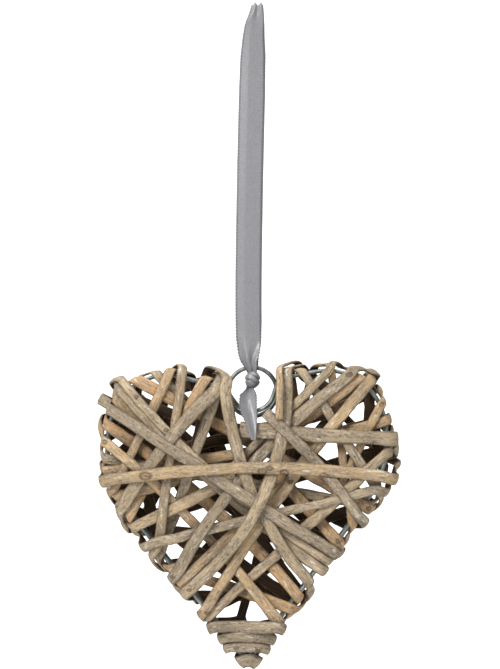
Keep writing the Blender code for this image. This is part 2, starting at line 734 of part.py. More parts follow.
def ribbon_loop():
    """The loop: over the hook at the top, down on both sides of the ring's wire and under it."""
    top_r = HOOK_D / 2 + RIBBON_T / 2
    ring_r = RING_WIRE_D / 2 + 2 * TOUCH + RIBBON_T / 2
    ring_top = ring_centre_z() + (RING_INNER_D + RING_WIRE_D) / 2
    reach = RIBBON_RING_W / 2 + abs(KNOT_X - NOTCH_X)
    ring_drop = reach ** 2 / (RING_INNER_D + RING_WIRE_D)
    path = []
    widths = []
    for angle in range(0, 181, 30):
        turn = math.radians(angle)
        path.append((-top_r * math.cos(turn), -HOOK_D / 2 + top_r * math.sin(turn)))
        widths.append(RIBBON_TOP_W)
    sides = ((-14.0, 0.80, 0.9), (-34.0, 0.45, 1.0), (-110.0, 0.4, 1.0), (-190.0, 0.4, 1.0),
             (-226.0, 0.55, 0.98), (-240.0, 0.95, 0.66))
    for z, spread, width in sides:
        path.append((spread * ring_r, z))
        widths.append(width * RIBBON_W)
    for angle in range(0, 181, 45):
        turn = math.radians(angle)
        path.append((ring_r * math.cos(turn), ring_top - ring_drop - ring_r * math.sin(turn)))
        widths.append(RIBBON_RING_W)
    for z, spread, width in reversed(sides):
        path.append((-spread * ring_r, z))
        widths.append(width * RIBBON_W)
    places = np.array(path)
    way = np.roll(places, -1, 0) - np.roll(places, 1, 0)
    way /= np.linalg.norm(way, axis=1, keepdims=True)
    rings = []
    for (y, z), (dy, dz), width in zip(places, way, widths):
        x = lean_x(z)
        near = (y + dz * RIBBON_T / 2, z - dy * RIBBON_T / 2)
        far = (y - dz * RIBBON_T / 2, z + dy * RIBBON_T / 2)
        rings.append(np.array([[x - width / 2, *near], [x + width / 2, *near],
                               [x + width / 2, *far], [x - width / 2, *far]]))
    return loop_mesh("ribbon", rings)


def lean_x(z):
    """Sideways place of the ribbon's middle: it leans a little to the knot."""
    return KNOT_X * min(1.0, z / KNOT_Z)


def tail_mesh(heap):
    """The loose end: from the knot forward over the wire and down on the strips."""
    z = np.linspace(KNOT_Z, TAIL_END_Z, 15)
    across = np.linspace(-RIBBON_W / 2, RIBBON_W / 2, 17)
    depth = []
    for height in z:
        y = np.arange(-44.0, -FRAME_DEPTH / 2, heap.cell)
        here = np.zeros((len(across), len(y), 3))
        here[:, :, 0] = (KNOT_X + across)[:, None]
        here[:, :, 1] = y
        here[:, :, 2] = height
        found = heap.grid[heap.index(here.reshape(-1, 3))].reshape(len(across), len(y)) > 0
        front = y[found.any(0)]
        depth.append(front[0] if len(front) else -FRAME_DEPTH / 2)
    need = -np.array(depth) + LAY_GAP + RIBBON_T / 2
    wire = -FRAME_DEPTH / 2 - WIRE_D / 2
    need = np.maximum(need, -wire + LAY_GAP)
    need[z > NOTCH_Z + 8.0] = 0.0
    step = abs(z[1] - z[0])
    height = need.copy()
    for k in range(1, len(z)):
        drop = (k * step) ** 2 / (2 * TAIL_BEND_R)
        height[k:] = np.maximum(height[k:], need[:-k] - drop)
        height[:-k] = np.maximum(height[:-k], need[k:] - drop)
    height[0] = min(height[0], KNOT_D / 4)
    widths = RIBBON_W * np.interp(z, (TAIL_END_Z, -266.0, -262.0, KNOT_Z), (0.42, 0.70, 0.70, 0.5))
    return swept_mesh("tail", band(np.stack([-height, z], -1), widths, [KNOT_X] * len(z), RIBBON_T))


def knot_mesh():
    """The knot, a rounded lump under the ring's wire."""
    bpy.ops.mesh.primitive_uv_sphere_add(segments=16, ring_count=10, radius=1.0)
    ball = bpy.context.object
    mesh = ball.data
    mesh.transform(ball.matrix_world)
    bpy.data.objects.remove(ball)
    for vertex in mesh.vertices:
        vertex.co.x = (vertex.co.x * KNOT_W / 2 + KNOT_X) * MM
        vertex.co.y = (vertex.co.y * KNOT_D / 2) * MM
        vertex.co.z = (vertex.co.z * KNOT_H / 2 + KNOT_Z) * MM
    return mesh


def add_ribbon(heap):
    node = add_node("ribbon", ribbon_loop(), "satin_ribbon")
    for number, mesh in enumerate((knot_mesh(), tail_mesh(heap))):
        tool = add_node("ribbon_piece_%d" % number, mesh, "satin_ribbon")
        join = node.modifiers.new("join", "BOOLEAN")
        join.operation = "UNION"
        join.solver = "EXACT"
        join.object = tool
        bpy.context.view_layer.update()
        seen = node.evaluated_get(bpy.context.evaluated_depsgraph_get())
        joined = bpy.data.meshes.new_from_object(seen)
        node.modifiers.clear()
        node.data = joined
        bpy.data.objects.remove(tool)
    joined.name = "ribbon"


def main():
    for old in list(bpy.data.objects):
        bpy.data.objects.remove(old)
    if COLLECTION not in bpy.data.collections:
        home = bpy.data.collections.new(COLLECTION)
        bpy.context.scene.collection.children.link(home)
    strips, heap = lay_all()
    add_strips(strips)
    add_wires()
    add_ring()
    add_ribbon(heap)


main()
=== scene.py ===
"""Looks of the hanging willow heart: split-willow strips wound on two galvanised wires, the
wire ring in its notch, the satin ribbon with its knot, a pale studio, soft lights and the
camera.

The scene is in metres, +Z up, the front faces -Y, and the origin is the inside top of the
ribbon's loop. Sizes below are in millimetres where nothing else is said.
"""
import math

import bmesh
import bpy
import numpy as np
from mathutils import Matrix, Vector


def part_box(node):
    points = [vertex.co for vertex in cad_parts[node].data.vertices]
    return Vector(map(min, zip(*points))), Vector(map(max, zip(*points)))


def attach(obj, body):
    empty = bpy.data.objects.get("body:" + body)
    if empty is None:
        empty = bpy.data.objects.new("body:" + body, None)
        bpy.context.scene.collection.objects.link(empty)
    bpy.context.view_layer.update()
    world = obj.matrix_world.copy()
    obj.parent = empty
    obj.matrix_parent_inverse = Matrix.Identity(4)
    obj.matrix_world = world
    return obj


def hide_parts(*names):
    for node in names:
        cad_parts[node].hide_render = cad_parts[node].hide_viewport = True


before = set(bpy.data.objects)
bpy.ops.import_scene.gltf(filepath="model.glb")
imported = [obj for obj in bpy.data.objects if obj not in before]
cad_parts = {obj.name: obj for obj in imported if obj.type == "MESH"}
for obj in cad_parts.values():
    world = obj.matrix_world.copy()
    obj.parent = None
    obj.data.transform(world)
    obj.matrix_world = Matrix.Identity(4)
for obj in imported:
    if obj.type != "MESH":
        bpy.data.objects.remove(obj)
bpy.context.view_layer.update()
MM = 0.001
SAME_CORNER = 0.002     # corners of a CAD mesh that are nearer than this are one

# Willow: a split rod is rounded on its bark side and flat on its pith side.
STRIP_CROWN = 1.65      # thickness in the middle of a strip
STRIP_EDGE = 0.75       # thickness near its edges
STRIP_DEEPER = 0.35     # how much nearer to what it lies on than the CAD strip
STRIP_STEP = 1.6        # between the cross-sections drawn
STRIP_EASE = 2          # cross-sections on each side that its line is smoothed over
CROWN_POWER = 2.4       # the higher, the nearer to the edges the crown falls off
EDGE_LEFT = 0.45        # share of the thickness left at the edge itself
UV_APART = 1700.0       # between the patterns of two strips
UV_SEAM = 0.1           # share of the width between the last and first points across
TIP_FULLER = ((-422.0, -405.0), (1.10, 1.0))    # heights near the tip, how many times wider

# Places across a strip, in half widths: over its bark side and back over its pith side.
BARK_SIDE = (-1.0, -0.93, -0.75, -0.45, 0.0, 0.45, 0.75, 0.93, 1.0)
PITH_SIDE = (0.9, 0.0, -0.9)
BARK = slice(0, len(BARK_SIDE))
PITH_EDGE = 0.4         # how near to an edge the pith side counts for the painted edge shade, where an edge itself is 1

# How a strip varies on its way: by how much, and over about what length.
WIDTH_VARIES = (0.06, 30.0)     # share of its width
SIDE_VARIES = (0.30, 24.0)      # its middle, sideways
THICK_VARIES = (0.12, 18.0)     # share of its thickness
EDGE_VARIES = (0.16, 3.0)       # each split edge, in and out

# Knots in the wood that show on the front: x, z and size.
KNOTS = {
    "willow_strip_16": [(-68.8, -314.2, 2.6), (8.3, -309.8, 1.9), (22.9, -310.6, 1.9),
                        (49.2, -312.4, 2.0)],
}
MORE_KNOTS = 2          # more of them on each strip, at places drawn at random
MORE_SIZES = (0.9, 1.5)
KNOT_LONG = 1.5         # times as wide as it is tall
KNOT_RAISED = 0.35      # how far the bark stands up over it
FRONT_BELOW = -0.6      # y of an outward direction, under which it faces the front

# Tone of a strip, from 0, grey and weathered with most bark left, to 1, orange. A strip that
# isn't here draws its tone from the range.
TONES = {
    "willow_strip_02": 0.70, "willow_strip_03": 0.72, "willow_strip_04": 0.65,
    "willow_strip_05": 0.60, "willow_strip_09": 0.55, "willow_strip_14": 0.22,
    "willow_strip_15": 0.30, "willow_strip_16": 0.50, "willow_strip_17": 0.13,
}
TONE_RANGE = (0.08, 0.58)

# Wires: the triangles of a CAD wire are joined into four-sided faces before it is rounded.
JOIN_BEND = 0.7         # most bend between two triangles that are joined, in radians
JOIN_SKEW = 1.2         # most skew of the face that they make

# Ring: its wire is butted and welded.
RING_STEPS = 160        # round the ring
RING_SIDES = 20         # round its wire
RING_WIRE = 3.0         # thickness of the wire
WELD_TURN = math.radians(205.0)     # place of the weld, from +X towards +Z
WELD_SWELL = 0.10       # share by which the wire is thicker there
WELD_LENGTH = 1.5
WIRE_UNEVEN = 0.008     # share by which it is thicker and thinner elsewhere
WIRE_WAVES = 9          # how many times round the ring

# Ribbon: 16 mm satin with a looped edge, tied through the ring.
RIBBON_W = 16.0
RIBBON_THIN = 0.3
RIBBON_STEP = 0.45      # between the rows of points drawn
RIBBON_ACROSS = np.linspace(-0.5, 0.5, 33)      # places across it, in widths
PICOT_PITCH = 2.1       # between the loops of its edge
PICOT_DEPTH = 1.0       # how far they stand out
PICOT_SHADE = (0.3, 0.7)    # painted shade on the looped edge: how dark between its loops, and how much more on them
CREASE_PLACE = -0.17    # of its width from the middle, where the crease of its fold runs
CREASE_EASE = 2         # points on each side that the crease is softened over
GATHER_START = 0.6      # how far through a gather its middle is at first, in radians
LOOP_DRIFT = 0.02       # how far the gathers shift for each millimetre of the loop
TAIL_DRIFT = -0.045     # and of the loose end

# Knot of the ribbon.
KNOT_PLACE = (0.9, -249.6)      # x and z
KNOT_Y = -0.6
KNOT_SIZE = (10.4, 10.6, 11.6)  # across, front to back and up
KNOT_SIDES = 72         # points round it
KNOT_LAYERS = 41        # and from its bottom to its top
KNOT_SQUARE = 2.4       # the higher, the squarer it is seen from the front
KNOT_CLOSED = 0.93      # how far it closes at its top and bottom
KNOT_SLANT = 0.42       # how far its folds rise and fall round it, in half heights
KNOT_TURN = 0.5         # where they are halfway, in radians from its front towards +X
KNOT_FOLDS = ((0.30, 0.20, 0.09), (-0.42, 0.16, 0.08))  # height, depth and width of a groove
KNOT_CREASES = 9        # finer ones, whose heights and depths are drawn at random
CREASE_HEIGHTS = (-0.9, 0.9)
CREASE_DEPTHS = (0.03, 0.06)
CREASE_WIDTH = 0.05
CREASE_WAVE = 0.1       # how far each wanders up and down round the knot
KNOT_CLOTH = (5.0, 6.0)     # cloth for a radian round it, and from its middle to its top

# Seeds of the random draws.
STRIP_SEED = 100
KNOT_SEED = 500
CREASE_SEED = 7

# Camera, in metres: the photograph's frame at the heart, and its slight roll.
VIEW_TALL = 0.4428
VIEW_CENTRE = (-0.0012, -0.2196)    # x and z
VIEW_ROLL = math.radians(0.9)
VIEW_DISTANCE = 3.6
VIEW_MATCH = 0.020      # in front of the wire ring, where the picture is at true size
VIEW_FAR = 50.0
SENSOR = 36.0           # in millimetres

# Studio, in metres: a pale floor that sweeps up into a wall, far enough behind for a view
# from any side.
FLOOR_Z = -0.75
FLOOR_REACH = 5.0       # forward and to each side
WALL_Y = 4.2
WALL_TOP = 3.5
SWEEP_R = 0.6
SWEEP_STEPS = 12

# Lights, in metres: place, width and height, power in watts, and what each is turned to.
HEART = (0.0, 0.0, -0.33)
LIGHTS = {
    "key": ((-0.9, -1.3, 0.7), (0.8, 0.8), 36.0, HEART),
    "fill": ((1.2, -1.1, 0.0), (1.3, 1.3), 5.0, HEART),
    "top": ((0.0, -0.3, 1.9), (2.4, 1.0), 52.0, (0.0, 0.6, -0.3)),
    "wall": ((0.0, 2.6, 2.0), (3.0, 1.0), 120.0, (0.0, WALL_Y, -0.1)),
}
WORLD_LIGHT = 0.17      # strength of the even light from all round

# Sockets of a node that mixes two colours, and the two ways that it is used here.
SHARE = 0
UNDER = 6
OVER = 7
MIXED = 2
LAID_OVER = {"data_type": "RGBA", "blend_type": "MIX"}
MULTIPLIED = {"data_type": "RGBA", "blend_type": "MULTIPLY"}


def linear(code):
    """A hex colour as linear red, green, blue and alpha."""
    values = [int(code[k:k + 2], 16) / 255 for k in (0, 2, 4)]
    return [v / 12.92 if v <= 0.04045 else ((v + 0.055) / 1.055) ** 2.4 for v in values] + [1.0]


def feed(tree, node, inputs):
    """Sets a node's inputs. Each is a number, a hex colour or the socket that feeds it."""
    for name, value in inputs.items():
        if isinstance(value, bpy.types.NodeSocket):
            tree.links.new(value, node.inputs[name])
        elif isinstance(value, str):
            node.inputs[name].default_value = linear(value)
        else:
            node.inputs[name].default_value = value


def add(tree, kind, settings=None, inputs=None, stops=()):
    """A shader node with its settings and inputs. The stops are a colour ramp's own: each is
    a place with a hex colour or a grey value."""
    node = tree.nodes.new(kind)
    for name, value in (settings or {}).items():
        setattr(node, name, value)
    feed(tree, node, inputs or {})
    if stops:
        points = node.color_ramp.elements
        while len(points) < len(stops):
            points.new(1.0)
        for point, (place, colour) in zip(points, stops):
            point.position = place
            point.color = linear(colour) if isinstance(colour, str) else [colour] * 3 + [1.0]
    return node


def scaled(along, across, shift=0.0):
    """Size in millimetres along and across a piece, and the shift that sets a pattern apart
    from the others, as the inputs that place it."""
    return {"Scale": (1 / (along * MM), 1 / (across * MM), 1.0),
            "Location": (shift, shift * 0.7, shift * 1.3)}


def clouded(tree, source, size, detail, rough, warp=0.0):
    """An uneven pattern of a real size: how much fine detail it has, and how far it is warped."""
    placed = add(tree, "ShaderNodeMapping", inputs={"Vector": source, **size})
    made = add(tree, "ShaderNodeTexNoise", inputs={
        "Vector": placed.outputs["Vector"], "Scale": 1.0, "Detail": detail,
        "Roughness": rough, "Distortion": warp})
    return made.outputs["Fac"]


def new_material(name):
    """A new material with its node tree and its shader."""
    made = bpy.data.materials.new(name)
    made.use_nodes = True
    return made, made.node_tree, made.node_tree.nodes["Principled BSDF"]


def split_willow():
    """Split willow rod, dried and dull: grey-tan to orange wood in long fibres, with grey bark
    left in patches, fine cracks along it, dark pores, pale dried lime and dark oval knots.
    Painted shade darkens each strip towards its split edges, where the strips lie against each
    other, and lays dark brown over the pith side, which faces the dim inside of the heart. It is
    matt, with fine ridges. The fibres and pores of real willow are too fine to show, so they are
    drawn about 1 mm wide."""
    made, tree, shader = new_material("split_willow")
    uv = add(tree, "ShaderNodeUVMap", {"uv_map": "strip"}).outputs["UV"]
    tone, knot, edge, pith = (
        add(tree, "ShaderNodeAttribute", {"attribute_name": name}).outputs["Fac"]
        for name in ("tone", "knot", "edge", "pith"))
    drift = clouded(tree, uv, scaled(45.0, 22.0, 3.1), 3.0, 0.55)
    fibre = clouded(tree, uv, scaled(11.0, 0.75, 7.7), 6.0, 0.75, 0.25)
    pores = clouded(tree, uv, scaled(2.4, 1.3, 5.2), 6.0, 0.8, 0.4)
    patches = clouded(tree, uv, scaled(13.0, 4.2, 12.3), 6.0, 0.72, 0.6)
    cracks = clouded(tree, uv, scaled(15.0, 0.9, 17.9), 4.0, 0.6, 0.5)
    lime = clouded(tree, uv, scaled(9.0, 3.2, 21.9), 5.0, 0.72, 0.3)

    # The bare wood, by the strip's tone, shaded along its drifts, fibres and pores.
    colour = add(tree, "ShaderNodeValToRGB", inputs={"Fac": tone}, stops=(
        (0.0, "877b6b"), (0.3, "ab987b"), (0.5, "b49b78"), (0.7, "b5936c"),
        (1.0, "a87c50"))).outputs["Color"]
    for share, pattern, greys in (
            (1.0, drift, ((0.32, 0.72), (0.5, 1.0), (0.68, 1.16))),
            (0.9, fibre, ((0.30, 0.40), (0.43, 0.77), (0.55, 1.03), (0.72, 1.26))),
            (0.8, pores, ((0.32, 0.42), (0.44, 0.88), (0.60, 1.12), (0.72, 1.3)))):
        shade = add(tree, "ShaderNodeValToRGB", inputs={"Fac": pattern}, stops=greys)
        colour = add(tree, "ShaderNodeMix", MULTIPLIED, {
            SHARE: share, UNDER: colour, OVER: shade.outputs["Color"]}).outputs[MIXED]

    # Bark left in patches, and more of it on a grey strip.
    in_patches = add(tree, "ShaderNodeValToRGB", inputs={"Fac": patches}, stops=(
        (0.47, 0.0), (0.55, 0.85)))
    by_tone = add(tree, "ShaderNodeValToRGB", inputs={"Fac": tone}, stops=(
        (0.0, 1.0), (0.2, 0.9), (0.6, 0.6)))
    left = add(tree, "ShaderNodeMix", MULTIPLIED, {
        SHARE: 1.0, UNDER: in_patches.outputs["Color"], OVER: by_tone.outputs["Color"]})
    bark = add(tree, "ShaderNodeValToRGB", inputs={"Fac": pores}, stops=(
        (0.34, "30271e"), (0.45, "6d6050"), (0.58, "938879"), (0.72, "bab2a5")))
    colour = add(tree, "ShaderNodeMix", LAID_OVER, {
        SHARE: left.outputs[MIXED], UNDER: colour, OVER: bark.outputs["Color"]}).outputs[MIXED]

    # Cracks, lime and knots, each in its own colour, and painted shade along the split edges
    # where the strips lie against each other.
    for mark, shares, over in (
            (cracks, ((0.335, 0.65), (0.39, 0.0)), "3a3027"),
            (lime, ((0.585, 0.0), (0.67, 0.7)), "d2cbbd"),
            (knot, ((0.15, 0.0), (0.38, 0.7), (0.5, 0.75), (0.65, 0.4), (0.8, 0.4),
                    (0.95, 0.8)), "3f3226"),
            # painted shade along the edges of each strip, where the strips lie against each other
            (edge, ((0.70, 0.0), (0.94, 0.45), (1.0, 0.75)), "4a3c2e")):
        share = add(tree, "ShaderNodeValToRGB", inputs={"Fac": mark}, stops=shares)
        colour = add(tree, "ShaderNodeMix", LAID_OVER, {
            SHARE: share.outputs["Color"], UNDER: colour, OVER: over}).outputs[MIXED]

    # Painted shade: the pith side faces the dim inside of the heart, so it is laid over with
    # near-black brown.
    inside = add(tree, "ShaderNodeValToRGB", inputs={"Fac": fibre}, stops=(
        (0.3, "231a12"), (0.5, "423222"), (0.7, "634c34")))
    colour = add(tree, "ShaderNodeMix", LAID_OVER, {
        SHARE: pith, UNDER: colour, OVER: inside.outputs["Color"]}).outputs[MIXED]
    ridges = add(tree, "ShaderNodeMix", LAID_OVER, {SHARE: 0.5, UNDER: fibre, OVER: pores})
    bump = add(tree, "ShaderNodeBump", inputs={
        "Strength": 0.7, "Distance": 0.5 * MM, "Height": ridges.outputs[MIXED]})
    feed(tree, shader, {"Base Color": colour, "Roughness": 0.8, "Specular IOR Level": 0.25,
                        "Normal": bump.outputs["Normal"]})
    return made


def galvanised_steel():
    """Hot-dipped zinc on steel wire: a grey-green dull sheen with cloudy darker patches."""
    made, tree, shader = new_material("galvanised_steel_wire")
    spot = add(tree, "ShaderNodeTexCoord").outputs["Object"]
    cloud = clouded(tree, spot, scaled(5.0, 5.0, 2.0), 4.0, 0.6)
    colour = add(tree, "ShaderNodeValToRGB", inputs={"Fac": cloud}, stops=(
        (0.35, "5c605d"), (0.55, "80857f"), (0.7, "a2a6a1")))
    rough = add(tree, "ShaderNodeValToRGB", inputs={"Fac": cloud}, stops=(
        (0.3, 0.38), (0.7, 0.55)))
    feed(tree, shader, {"Base Color": colour.outputs["Color"], "Metallic": 0.8,
                        "Roughness": rough.outputs["Color"]})
    return made


def polyester_satin():
    """Woven polyester satin: smooth grey threads, a faint cloud in the weave and soft lights,
    with painted shade on its looped edge, darkest on the loops. Its threads are too fine to show,
    so they are drawn about 1 mm apart."""
    made, tree, shader = new_material("grey_polyester_satin")
    uv = add(tree, "ShaderNodeUVMap", {"uv_map": "ribbon"}).outputs["UV"]
    picot = add(tree, "ShaderNodeAttribute", {"attribute_name": "picot"}).outputs["Fac"]
    threads = clouded(tree, uv, scaled(1.6, 0.8, 4.4), 4.0, 0.7)
    weave = clouded(tree, uv, scaled(0.9, 0.9, 8.1), 2.0, 0.6)
    placed = add(tree, "ShaderNodeMapping", inputs={"Vector": uv, **scaled(1.2, 1.2)})
    weft = add(tree, "ShaderNodeTexWave", {"wave_type": "BANDS", "bands_direction": "X"}, {
        "Vector": placed.outputs["Vector"], "Scale": 0.5, "Distortion": 0.4, "Detail": 1.0})
    grey = add(tree, "ShaderNodeValToRGB", inputs={"Fac": threads}, stops=(
        (0.3, "777679"), (0.5, "807f82"), (0.7, "8b8a8d")))
    # Painted shade on the looped edge, darkest on its loops.
    colour = add(tree, "ShaderNodeMix", LAID_OVER, {
        SHARE: picot, UNDER: grey.outputs["Color"], OVER: "47474a"})
    height = add(tree, "ShaderNodeMix", LAID_OVER, {
        SHARE: 0.5, UNDER: weft.outputs["Fac"], OVER: weave})
    bump = add(tree, "ShaderNodeBump", inputs={
        "Strength": 0.25, "Distance": 0.12 * MM, "Height": height.outputs[MIXED]})
    feed(tree, shader, {"Base Color": colour.outputs[MIXED], "Roughness": 0.30,
                        "Specular IOR Level": 0.6, "Anisotropic": 0.3,
                        "Normal": bump.outputs["Normal"]})
    return made


WILLOW = split_willow()
WIRE = galvanised_steel()
SATIN = polyester_satin()


def new_mesh(name, points, faces):
    """A mesh of points in metres."""
    mesh = bpy.data.meshes.new(name)
    mesh.from_pydata(np.reshape(points, (-1, 3)).tolist(), [], faces)
    mesh.update()
    return mesh


def lay_pattern(mesh, name, ring, find):
    """A UV map: find says where a point is on it, from its face, its cross-section and its
    place in that section of ring points."""
    layer = mesh.uv_layers.new(name=name)
    for face in mesh.polygons:
        for loop in face.loop_indices:
            section, place = divmod(mesh.loops[loop].vertex_index, ring)
            layer.data[loop].uv = find(face, section, place)


def point_values(mesh, name, values):
    """A number for each vertex, which a material reads by its name."""
    mesh.attributes.new(name, "FLOAT", "POINT").data.foreach_set("value", values)


def facing_out(mesh):
    """The mesh with all its faces turned outwards."""
    build = bmesh.new()
    build.from_mesh(mesh)
    bmesh.ops.recalc_face_normals(build, faces=build.faces)
    build.to_mesh(mesh)
    build.free()
    return mesh


def put(name, mesh, look, node):
    """Puts a finished mesh in the scene, riding on the object, in place of its CAD node."""
    piece = bpy.data.objects.new(name, mesh)
    bpy.context.scene.collection.objects.link(piece)
    mesh.materials.append(look)
    mesh.shade_smooth()
    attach(piece, "root")
    if node:
        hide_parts(node)
    return piece


def unit(rows):
    """Each row as a direction, of length one."""
    return rows / np.linalg.norm(rows, axis=-1, keepdims=True)


def smooth_path(points, step):
    """A smooth curve through points: its places a step apart, at least eight steps, how far
    along it each of them is, and how far along it the points are."""
    apart = np.linalg.norm(np.diff(points, axis=0), axis=1)
    along = np.concatenate([[0.0], np.cumsum(apart)])
    slopes = np.gradient(points, along, axis=0)
    run = np.linspace(0.0, along[-1], max(8, int(along[-1] / step)) + 1)
    k = np.clip(np.searchsorted(along, run, side="right") - 1, 0, len(points) - 2)
    size = (along[k + 1] - along[k])[:, None]
    t = ((run - along[k]) / size[:, 0])[:, None]
    curve = ((2 * t ** 3 - 3 * t ** 2 + 1) * points[k]
             + (t ** 3 - 2 * t ** 2 + t) * size * slopes[k]
             + (3 * t ** 2 - 2 * t ** 3) * points[k + 1]
             + (t ** 3 - t ** 2) * size * slopes[k + 1])
    return curve, run, along


def blur(rows, reach):
    """Each row averaged with its neighbours, the ends held."""
    weights = np.exp(-0.5 * (np.arange(-reach, reach + 1) / (reach / 2)) ** 2)
    weights /= weights.sum()
    before = 2 * rows[:1] - rows[reach:0:-1]
    after = 2 * rows[-1:] - rows[-2:-reach - 2:-1]
    padded = np.concatenate([before, rows, after])
    columns = [np.convolve(padded[:, c], weights, "valid") for c in range(rows.shape[1])]
    return np.stack(columns, -1)


def wander(count, amount, length, rng):
    """A smooth random line about zero along a strip, with bumps about a length apart."""
    bumps = max(4, int(count * STRIP_STEP / length) + 3)
    values = rng.normal(0.0, 1.0, bumps)
    line = np.interp(np.linspace(0, bumps - 1, count), np.arange(bumps), values)
    return amount * blur(line[:, None], max(2, int(length / STRIP_STEP / 2)))[:, 0]


def strip_sections(node):
    """The sections of a wound strip, of four corners each, read from its CAD node. One end is
    two triangles that share an edge, and the next section is what its corners touch."""
    build = bmesh.new()
    build.from_mesh(node.data)
    bmesh.ops.remove_doubles(build, verts=build.verts, dist=SAME_CORNER * MM)
    build.verts.index_update()
    places = np.array([v.co[:] for v in build.verts]) / MM
    near = [{e.other_vert(v).index for e in v.link_edges} for v in build.verts]
    ends = [{v.index for f in e.link_faces for v in f.verts} for e in build.edges]
    build.free()
    for end in ends:
        layers = [end]
        seen = set(end)
        while len(layers[-1]) == 4:
            further = set().union(*(near[i] for i in layers[-1])) - seen
            if not further or (len(layers) == 1 and len(further) != 4):
                break
            centre = places[sorted(layers[-1])].mean(0)
            nearest = sorted(further, key=lambda i: np.linalg.norm(places[i] - centre))[:4]
            layers.append(set(nearest))
            seen |= set(nearest)
        if len(seen) == len(places) and len(layers[-1]) == 4:
            return [places[sorted(layer)] for layer in layers]
    raise RuntimeError("no end found on " + node.name)


def section_axes(sections):
    """The middle of the flat side, the width and the outward direction of each section."""
    middles = []
    widths = []
    outs = []
    for four in sections:
        centre = four.mean(0)
        _, _, axes = np.linalg.svd(four - centre)
        order = np.argsort((four - centre) @ axes[1])
        flat, crown = sorted((four[order[:2]], four[order[2:]]),
                             key=lambda pair: -np.linalg.norm(pair[1] - pair[0]))
        middles.append(flat.mean(0))
        widths.append(np.linalg.norm(flat[1] - flat[0]))
        outs.append(unit(crown.mean(0) - flat.mean(0)))
    return np.array(middles), np.array(widths), np.array(outs)


def strip_course(sections, rng):
    """A strip's line with its outward and sideways directions, its width and its run."""
    middles, widths, outs = section_axes(sections)
    line, run, along = smooth_path(middles, STRIP_STEP)
    line = blur(line, STRIP_EASE)
    way = unit(np.gradient(line, axis=0))
    out = np.stack([np.interp(run, along, outs[:, c]) for c in range(3)], -1)
    out = blur(out, STRIP_EASE)
    out = unit(out - (out * way).sum(-1, keepdims=True) * way)
    side = np.cross(way, out)
    width = np.interp(run, along, widths)
    width = width * (1 + wander(len(line), *WIDTH_VARIES, rng))
    width = width * np.interp(line[:, 2], *TIP_FULLER)
    line = line + side * wander(len(line), *SIDE_VARIES, rng)[:, None]
    return line, out, side, width, run


def strip_surface(line, out, side, width, rng):
    """The points of each cross-section of a strip, over its bark side and back."""
    count = len(line)
    thick = 1 + wander(count, *THICK_VARIES, rng)
    rough_left = wander(count, *EDGE_VARIES, rng)
    rough_right = wander(count, *EDGE_VARIES, rng)
    rows = []
    for k, a in enumerate(BARK_SIDE + PITH_SIDE):
        half = width / 2 + (rough_right if a > 0 else rough_left) * abs(a)
        if k < len(BARK_SIDE):
            crown = (STRIP_CROWN - STRIP_EDGE) * (1 - abs(a) ** CROWN_POWER)
            lift = (STRIP_EDGE + crown) * thick
            if abs(a) == 1.0:
                lift = lift * EDGE_LEFT
        else:
            lift = np.full(count, -STRIP_DEEPER)
        rows.append(line + side * (half * a)[:, None] + out * lift[:, None])
    return np.stack(rows, 1)


def raise_knots(grid, out, knots):
    """Raises the bark side over each knot, and says how much of a knot each point is."""
    shares = np.zeros(grid.shape[:2])
    front = out[:, 1] < FRONT_BELOW
    for x, z, size in knots:
        gap = np.hypot((grid[:, BARK, 0] - x) / KNOT_LONG, grid[:, BARK, 2] - z)
        share = np.exp(-(gap / size) ** 2) * front[:, None]
        shares[:, BARK] = np.maximum(shares[:, BARK], share)
        grid[:, BARK] += out[:, None] * (KNOT_RAISED * share)[..., None]
    return shares


def willow_mesh(name, sections, number, knots, tone):
    """The mesh of a strip from its CAD sections, with what its material reads."""
    rng = np.random.default_rng(STRIP_SEED + number)
    line, out, side, width, run = strip_course(sections, rng)
    grid = strip_surface(line, out, side, width, rng)
    shares = raise_knots(grid, out, knots)
    count, ring = shares.shape
    faces = []
    for i in range(count - 1):
        for k in range(ring):
            n = (k + 1) % ring
            faces.append((i * ring + k, i * ring + n, (i + 1) * ring + n, (i + 1) * ring + k))
    faces.append(tuple(range(ring - 1, -1, -1)))
    faces.append(tuple((count - 1) * ring + k for k in range(ring)))
    mesh = new_mesh(name, grid * MM, faces)

    across = BARK_SIDE + PITH_SIDE
    turned = np.cumsum([0.0] + [abs(b - a) / 2 for a, b in zip(across, across[1:])])

    def on_strip(face, i, k):
        """How far along and round the strip a point is, the last face going on to the seam."""
        over_seam = k == 0 and len(face.vertices) == 4 and i * ring + ring - 1 in face.vertices
        v = turned[-1] + UV_SEAM if over_seam else turned[k]
        return (run[i] + UV_APART * number) * MM, v * width[i] * MM

    lay_pattern(mesh, "strip", ring, on_strip)
    # How near each point is to a split edge, for the painted shade there.
    edge_shade_mask = [abs(a) for a in BARK_SIDE] + [PITH_EDGE] * len(PITH_SIDE)
    # The whole pith side takes the painted shade of the inside.
    pith_shade_mask = [0.0] * len(BARK_SIDE) + [1.0] * len(PITH_SIDE)
    point_values(mesh, "edge", np.tile(edge_shade_mask, count))
    point_values(mesh, "pith", np.tile(pith_shade_mask, count))
    point_values(mesh, "knot", shares.reshape(-1))
    point_values(mesh, "tone", np.full(count * ring, tone))
    return facing_out(mesh)


def make_willow():
    """The wound strips and the binding of the tip."""
    names = sorted(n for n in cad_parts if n.startswith("willow_strip"))
    for number, name in enumerate(names + ["tip_binding"]):
        sections = strip_sections(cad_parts[name])
        rng = np.random.default_rng(KNOT_SEED + number)
        knots = list(KNOTS.get(name, []))
        for _ in range(MORE_KNOTS):
            spot = sections[rng.integers(0, len(sections))].mean(0)
            knots.append((spot[0], spot[2], rng.uniform(*MORE_SIZES)))
        tone = TONES.get(name, rng.uniform(*TONE_RANGE))
        mesh = willow_mesh(name + "_fine", sections, number, knots, tone)
        put(name + "_fine", mesh, WILLOW, name)


